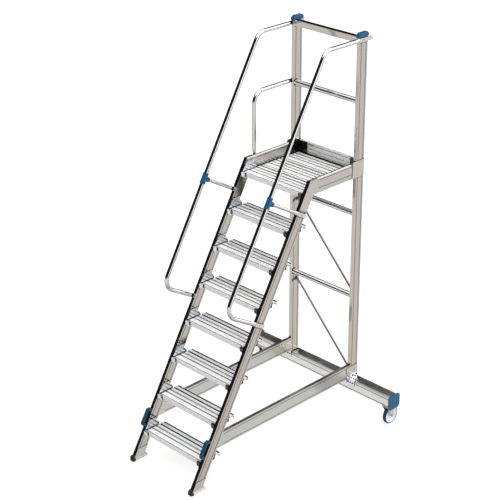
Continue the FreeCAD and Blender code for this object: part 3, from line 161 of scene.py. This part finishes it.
def painted_cavity_shade(tree, shader, mix, reach, span, tint):
    """Painted shade: grooves and tight corners darkened towards a near-black tone by an occlusion mask.
    """
    shade_mix = tree.nodes.new("ShaderNodeMix")
    shade_mix.data_type = "RGBA"
    shade_mix.inputs["A"].default_value = tint + (1.0,)
    tree.links.new(mix.outputs["Result"], shade_mix.inputs["B"])
    tree.links.new(cavity(tree, reach, span), shade_mix.inputs["Factor"])
    tree.links.new(shade_mix.outputs["Result"], shader.inputs["Base Color"])


# ---------------------------------------------------------------- materials
GROOVE_REACH = 0.012
CORNER_REACH = 0.006
METAL_EDGE = 0.0015
PLASTIC_EDGE = 0.002
# Near-black tones of the painted shade in grooves and in tight corners.
GROOVE_SHADE = (0.015, 0.015, 0.016)
CORNER_SHADE = (0.05, 0.05, 0.05)
# Scale of the die lines across and along a section.
LINES_ACROSS = 60.0
LINES_ALONG = 0.8
PLASTIC_SPECULAR = 0.28
# The spans that noise mostly stays in: soft clouds and grain, then handling marks.
CLOUD_SPAN = (0.3, 0.7)
MARK_SPAN = (0.35, 0.75)


def tinted(colour, factor, lift=0.0):
    """A darker or lighter tone of a colour, no brighter than white."""
    return tuple(min(1.0, channel * factor + lift) for channel in colour)


def uneven_roughness(tree, shader, value, span, low, high):
    """A roughness that follows a noise value from a low to a high level."""
    rough = remap(tree, value, *span, low, high)
    tree.links.new(rough, shader.inputs["Roughness"])


def extruded_metal(name, along, colour, roughness, metallic=1.0, turn=0.0, span=(0.76, 0.96)):
    """Extruded aluminium: fine die lines along one axis over a soft cloudy sheen."""
    material, tree, shader = new_material(name, Metallic=metallic)
    stretch = [LINES_ACROSS, LINES_ACROSS, LINES_ACROSS]
    stretch["XYZ".index(along)] = LINES_ALONG
    lines = noise(tree, object_coordinates(tree, turn, tuple(stretch)), scale=6.0)
    clouds = noise(tree, object_coordinates(tree), scale=5.0)
    mix = two_tone(tree, shader, clouds, tinted(colour, 0.94), colour)
    mix = worn_edges(tree, shader, mix, METAL_EDGE, tinted(colour, 1.35), share=0.7)
    # Painted shade in the grooves.
    painted_cavity_shade(tree, shader, mix, GROOVE_REACH, span, GROOVE_SHADE)
    uneven_roughness(tree, shader, clouds, CLOUD_SPAN, roughness * 0.8, roughness * 1.25)
    bump(tree, shader, lines, strength=0.12, distance=0.0004)
    return material


def polished_metal(name, colour, roughness, span=(0.25, 0.6)):
    """Pressed or drawn metal with faint handling marks."""
    material, tree, shader = new_material(name, Metallic=1.0)
    marks = noise(tree, object_coordinates(tree), scale=40.0, detail=6.0)
    clouds = noise(tree, object_coordinates(tree), scale=8.0)
    mix = two_tone(tree, shader, clouds, tinted(colour, 0.93), colour)
    # Painted shade in tight corners.
    painted_cavity_shade(tree, shader, mix, CORNER_REACH, span, CORNER_SHADE)
    uneven_roughness(tree, shader, marks, MARK_SPAN, roughness * 0.8, roughness * 1.5)
    bump(tree, shader, clouds, strength=0.08, distance=0.001)
    return material


def moulded_plastic(name, dark, light, roughness, grain=900.0):
    """Moulded plastic or rubber with a fine grain and slightly uneven colour."""
    material, tree, shader = new_material(name)
    shader.inputs["Specular IOR Level"].default_value = PLASTIC_SPECULAR
    clouds = noise(tree, object_coordinates(tree), scale=14.0)
    grains = noise(tree, object_coordinates(tree), grain, detail=2.0)
    mix = two_tone(tree, shader, clouds, dark, light)
    worn_edges(tree, shader, mix, PLASTIC_EDGE, tinted(light, 1.5, lift=0.02), share=0.6)
    uneven_roughness(tree, shader, grains, CLOUD_SPAN, roughness * 0.85, roughness * 1.15)
    bump(tree, shader, grains, strength=0.15, distance=0.0002)
    return material


LIGHT_ALUMINIUM = (0.52, 0.495, 0.445)
GUARD_ALUMINIUM = (0.53, 0.515, 0.485)
BASE_ALUMINIUM = (0.61, 0.60, 0.565)
BRIGHT_ALUMINIUM = (0.86, 0.84, 0.79)
PLANK_ALUMINIUM = (0.97, 0.97, 0.965)
BOARD_ALUMINIUM = (0.96, 0.96, 0.955)
metals = {
    "sloped": extruded_metal("frame_sloped", "Z", LIGHT_ALUMINIUM, 0.10, turn=-STILE_LEAN),
    "upright": extruded_metal("frame_upright", "Z", LIGHT_ALUMINIUM, 0.10),
    "guard": extruded_metal("frame_guard", "Y", GUARD_ALUMINIUM, 0.30),
    "base": extruded_metal("frame_base", "Y", BASE_ALUMINIUM, 0.30),
    "across": extruded_metal("frame_across", "X", BRIGHT_ALUMINIUM, 0.32),
    "bar": extruded_metal("frame_bar", "X", LIGHT_ALUMINIUM, 0.10),
}
plank_metal = extruded_metal("plank_metal", "X", PLANK_ALUMINIUM, 0.42, metallic=0.12, span=(0.84, 0.98))
plate_metal = polished_metal("plate_metal", (0.56, 0.535, 0.485), 0.16)
board_metal = extruded_metal("board_metal", "X", BOARD_ALUMINIUM, 0.28, metallic=0.4, span=(0.72, 0.94))
# Tread brackets left and right are mirror copies of one part: the left ones get a light tone as painted
# light, the right ones and the toe brackets a near-black tone as painted shade.
painted_lit_bracket_metal = polished_metal("painted_lit_bracket_metal", (0.76, 0.77, 0.81), 0.2, span=(0.02, 0.3))
shade_painted_metal = polished_metal("shade_painted_metal", (0.07, 0.07, 0.075), 0.22)
tube_metal = polished_metal("tube_metal", (0.66, 0.65, 0.63), 0.10)
angle_metal = polished_metal("angle_metal", (0.78, 0.80, 0.86), 0.14)
zinc_metal = polished_metal("zinc_metal", (0.60, 0.59, 0.56), 0.3)
brace_metal = polished_metal("brace_metal", (0.34, 0.33, 0.32), 0.18)
# The base bolts get a near-black tone as painted shade.
shade_painted_steel = polished_metal("shade_painted_steel", (0.10, 0.10, 0.11), 0.3)
blue_plastic = moulded_plastic("blue_plastic", (0.004, 0.080, 0.170), (0.006, 0.100, 0.210), 0.42)
grip_plastic = moulded_plastic("grip_plastic", (0.003, 0.045, 0.090), (0.005, 0.060, 0.115), 0.45)
black_rubber = moulded_plastic("black_rubber", (0.012, 0.012, 0.013), (0.022, 0.022, 0.024), 0.6)
grey_rubber = moulded_plastic("grey_rubber", (0.55, 0.54, 0.52), (0.66, 0.65, 0.63), 0.6)
tyre_rubber = moulded_plastic("tyre_rubber", (0.006, 0.045, 0.11), (0.010, 0.060, 0.14), 0.5)
rim_plastic = moulded_plastic("rim_plastic", (0.80, 0.82, 0.84), (0.88, 0.89, 0.90), 0.35)

NODE_MATERIALS = (
    (("stile_",), metals["sloped"]),
    (("post_left", "post_right"), metals["upright"]),
    (("side_beam", "deck_ledges"), metals["guard"]),
    (("base_beam",), metals["base"]),
    (("cross_beam",), metals["across"]),
    (("top_bar",), metals["bar"]),
    # Painted shade on the right tread brackets and toe brackets, painted light on the left tread
    # brackets.
    (("tread_brackets_right", "toe_brackets"), shade_painted_metal),
    (("tread_brackets_left",), painted_lit_bracket_metal),
    (("tread_", "deck_plank"), plank_metal),
    (("toe_board",), board_metal),
    (("knee_plate", "platform_plate", "base_plate", "foot_shoes"), plate_metal),
    (("base_angles",), angle_metal),
    # Painted shade on the base bolts.
    (("base_bolts",), shade_painted_steel),
    (("handrail", "branch_tubes", "side_loop", "knee_rail", "rung"), tube_metal),
    (("brace",), brace_metal),
    (("post_cap", "end_cap", "rail_connectors"), blue_plastic),
    (("grip",), grip_plastic),
    (("foot_noses",), black_rubber),
    (("foot_soles",), grey_rubber),
    (("tyre",), tyre_rubber),
    (("rim",), rim_plastic),
    (("castor", "rail_bolts", "plate_rivets"), zinc_metal),
)


def dress_nodes():
    """Give each node the material of the first entry that its name starts with."""
    for name, node in nodes.items():
        for starts, material in NODE_MATERIALS:
            if name.startswith(starts):
                for slot in node.material_slots:
                    slot.material = material
                break
        else:
            raise RuntimeError("no material for " + name)


# Widths of rounded edges, by the start of the node's name, in metres.
ROUNDED = (
    (("end_cap", "post_cap", "grip", "rail_connectors"), 0.0016),
    (("foot_noses", "tyre"), 0.0025),
    (("rail_bolts", "base_bolts", "castor_axles"), 0.0012),
    (("plate_rivets",), 0.0005),
)
ROUNDING_SEGMENTS = 3
ROUNDING_ANGLE = math.radians(25.0)


def round_edges():
    for name, node in nodes.items():
        for starts, width in ROUNDED:
            if name.startswith(starts):
                bevel = node.modifiers.new("rounded", "BEVEL")
                bevel.width = width
                bevel.segments = ROUNDING_SEGMENTS
                bevel.limit_method = "ANGLE"
                bevel.angle_limit = ROUNDING_ANGLE
                bevel.harden_normals = True


# ---------------------------------------------------------------- studio
# Directions and limits of the dark flags and of the light ceiling, as cosines.
FLAG_SIDE = (-0.8, -0.6, 0.0)
FLAG_EDGE = (-0.52, -0.66)
CEILING_EDGE = (0.62, 0.78)
REAR_SIDE = (-0.47, 0.88, 0.0)
REAR_EDGE = (0.50, 0.68)
WALL_SIDE = (-0.85, 0.53, 0.0)
WALL_EDGE = (0.35, 0.55)
WALL_FOOT = (-0.50, -0.65)
FLOOR_EDGE = (-0.45, -0.95)
HORIZON_EDGE = (-0.01, 0.01)
UP = (0.0, 0.0, 1.0)
STUDIO_STRENGTH = 2.2
# Light from the floor near the horizon and from straight below, as shares of the strength.
FLOOR_LEVELS = (0.453, 0.175)
FLAG_COLOUR = (0.006, 0.006, 0.008, 1.0)
WHITE = (1.0, 1.0, 1.0, 1.0)


def along(tree, direction, way, limits, new_low, new_high):
    """A value that turns from one level to another as a direction turns towards a way."""
    facing = tree.nodes.new("ShaderNodeVectorMath")
    facing.operation = "DOT_PRODUCT"
    facing.inputs[1].default_value = way
    tree.links.new(direction, facing.inputs[0])
    return remap(tree, facing.outputs["Value"], *limits, new_low, new_high)


def combine(tree, operation, first, second):
    node = tree.nodes.new("ShaderNodeMath")
    node.operation = operation
    tree.links.new(first, node.inputs[0])
    tree.links.new(second, node.inputs[1])
    return node.outputs["Value"]


def make_world():
    """A light ceiling, right side and floor round dark flags at the left and in front."""
    world = bpy.data.worlds.new("studio")
    bpy.context.scene.world = world
    world.use_nodes = True
    tree = world.node_tree
    tree.nodes.clear()
    direction = tree.nodes.new("ShaderNodeTexCoord").outputs["Generated"]
    ceiling = along(tree, direction, UP, CEILING_EDGE, 0.0, 1.0)
    before_flag = along(tree, direction, REAR_SIDE, REAR_EDGE, 1.0, 0.0)
    open_side = along(tree, direction, FLAG_SIDE, FLAG_EDGE, 0.0, 1.0)
    above = combine(tree, "MAXIMUM", combine(tree, "MULTIPLY", ceiling, before_flag), open_side)
    beside_wall = along(tree, direction, WALL_SIDE, WALL_EDGE, 1.0, 0.0)
    under_wall = along(tree, direction, UP, WALL_FOOT, 0.0, 1.0)
    floor_level = along(tree, direction, UP, FLOOR_EDGE, *FLOOR_LEVELS)
    below = combine(tree, "MULTIPLY", combine(tree, "MAXIMUM", beside_wall, under_wall), floor_level)
    horizon = along(tree, direction, UP, HORIZON_EDGE, 0.0, 1.0)
    mix = tree.nodes.new("ShaderNodeMix")
    tree.links.new(horizon, mix.inputs["Factor"])
    tree.links.new(below, mix.inputs["A"])
    tree.links.new(above, mix.inputs["B"])
    colour = tree.nodes.new("ShaderNodeMix")
    colour.data_type = "RGBA"
    colour.inputs["A"].default_value = FLAG_COLOUR
    colour.inputs["B"].default_value = WHITE
    tree.links.new(mix.outputs["Result"], colour.inputs["Factor"])
    light = tree.nodes.new("ShaderNodeBackground")
    light.inputs["Strength"].default_value = STUDIO_STRENGTH
    tree.links.new(colour.outputs["Result"], light.inputs["Color"])
    output = tree.nodes.new("ShaderNodeOutputWorld")
    tree.links.new(light.outputs["Background"], output.inputs["Surface"])


FLOOR_HALF = 40.0
FLOOR_GLOW = 0.75
FLOOR_SPECULAR = 0.1
BACKDROP_RADIUS = 36.0
BACKDROP_HEIGHT = 30.0
BACKDROP_SIDES = 96
BACKDROP_GLOW = 0.95
BACKDROP_SPECULAR = 0.5
PALE_DARK = (0.35, 0.35, 0.345)
PALE_LIGHT = (0.37, 0.37, 0.365)
PALE_ROUGHNESS = 0.9


def pale_surface(name, points, faces, glow, specular):
    """A pale, faintly clouded stage piece that isn't seen in reflections or by bounced light."""
    mesh = bpy.data.meshes.new(name)
    mesh.from_pydata(points, [], faces)
    piece = bpy.data.objects.new(name, mesh)
    bpy.context.scene.collection.objects.link(piece)
    material, tree, shader = new_material(name, Roughness=PALE_ROUGHNESS)
    shader.inputs["Specular IOR Level"].default_value = specular
    clouds = noise(tree, object_coordinates(tree), scale=0.5)
    two_tone(tree, shader, clouds, PALE_DARK, PALE_LIGHT)
    shader.inputs["Emission Color"].default_value = WHITE
    shader.inputs["Emission Strength"].default_value = glow
    mesh.materials.append(material)
    piece.visible_glossy = False
    piece.visible_diffuse = False
    return piece


def make_floor():
    half = FLOOR_HALF
    corners = [(-half, -half, 0.0), (half, -half, 0.0), (half, half, 0.0), (-half, half, 0.0)]
    pale_surface("floor", corners, [(0, 1, 2, 3)], FLOOR_GLOW, FLOOR_SPECULAR)


def make_backdrop():
    """A pale round wall far off, seen behind the stand from low down; it casts no shadow."""
    points = []
    for height in (0.0, BACKDROP_HEIGHT):
        for side in range(BACKDROP_SIDES):
            angle = 2.0 * math.pi * side / BACKDROP_SIDES
            points.append((BACKDROP_RADIUS * math.cos(angle), BACKDROP_RADIUS * math.sin(angle), height))
    faces = []
    for side in range(BACKDROP_SIDES):
        following = (side + 1) % BACKDROP_SIDES
        faces.append((following, side, side + BACKDROP_SIDES, following + BACKDROP_SIDES))
    backdrop = pale_surface("backdrop", points, faces, BACKDROP_GLOW, BACKDROP_SPECULAR)
    backdrop.visible_shadow = False


# ---------------------------------------------------------------- the scene
bpy.context.scene.view_settings.view_transform = "Standard"
make_camera()
dress_nodes()
round_edges()
make_world()
make_floor()
make_backdrop()
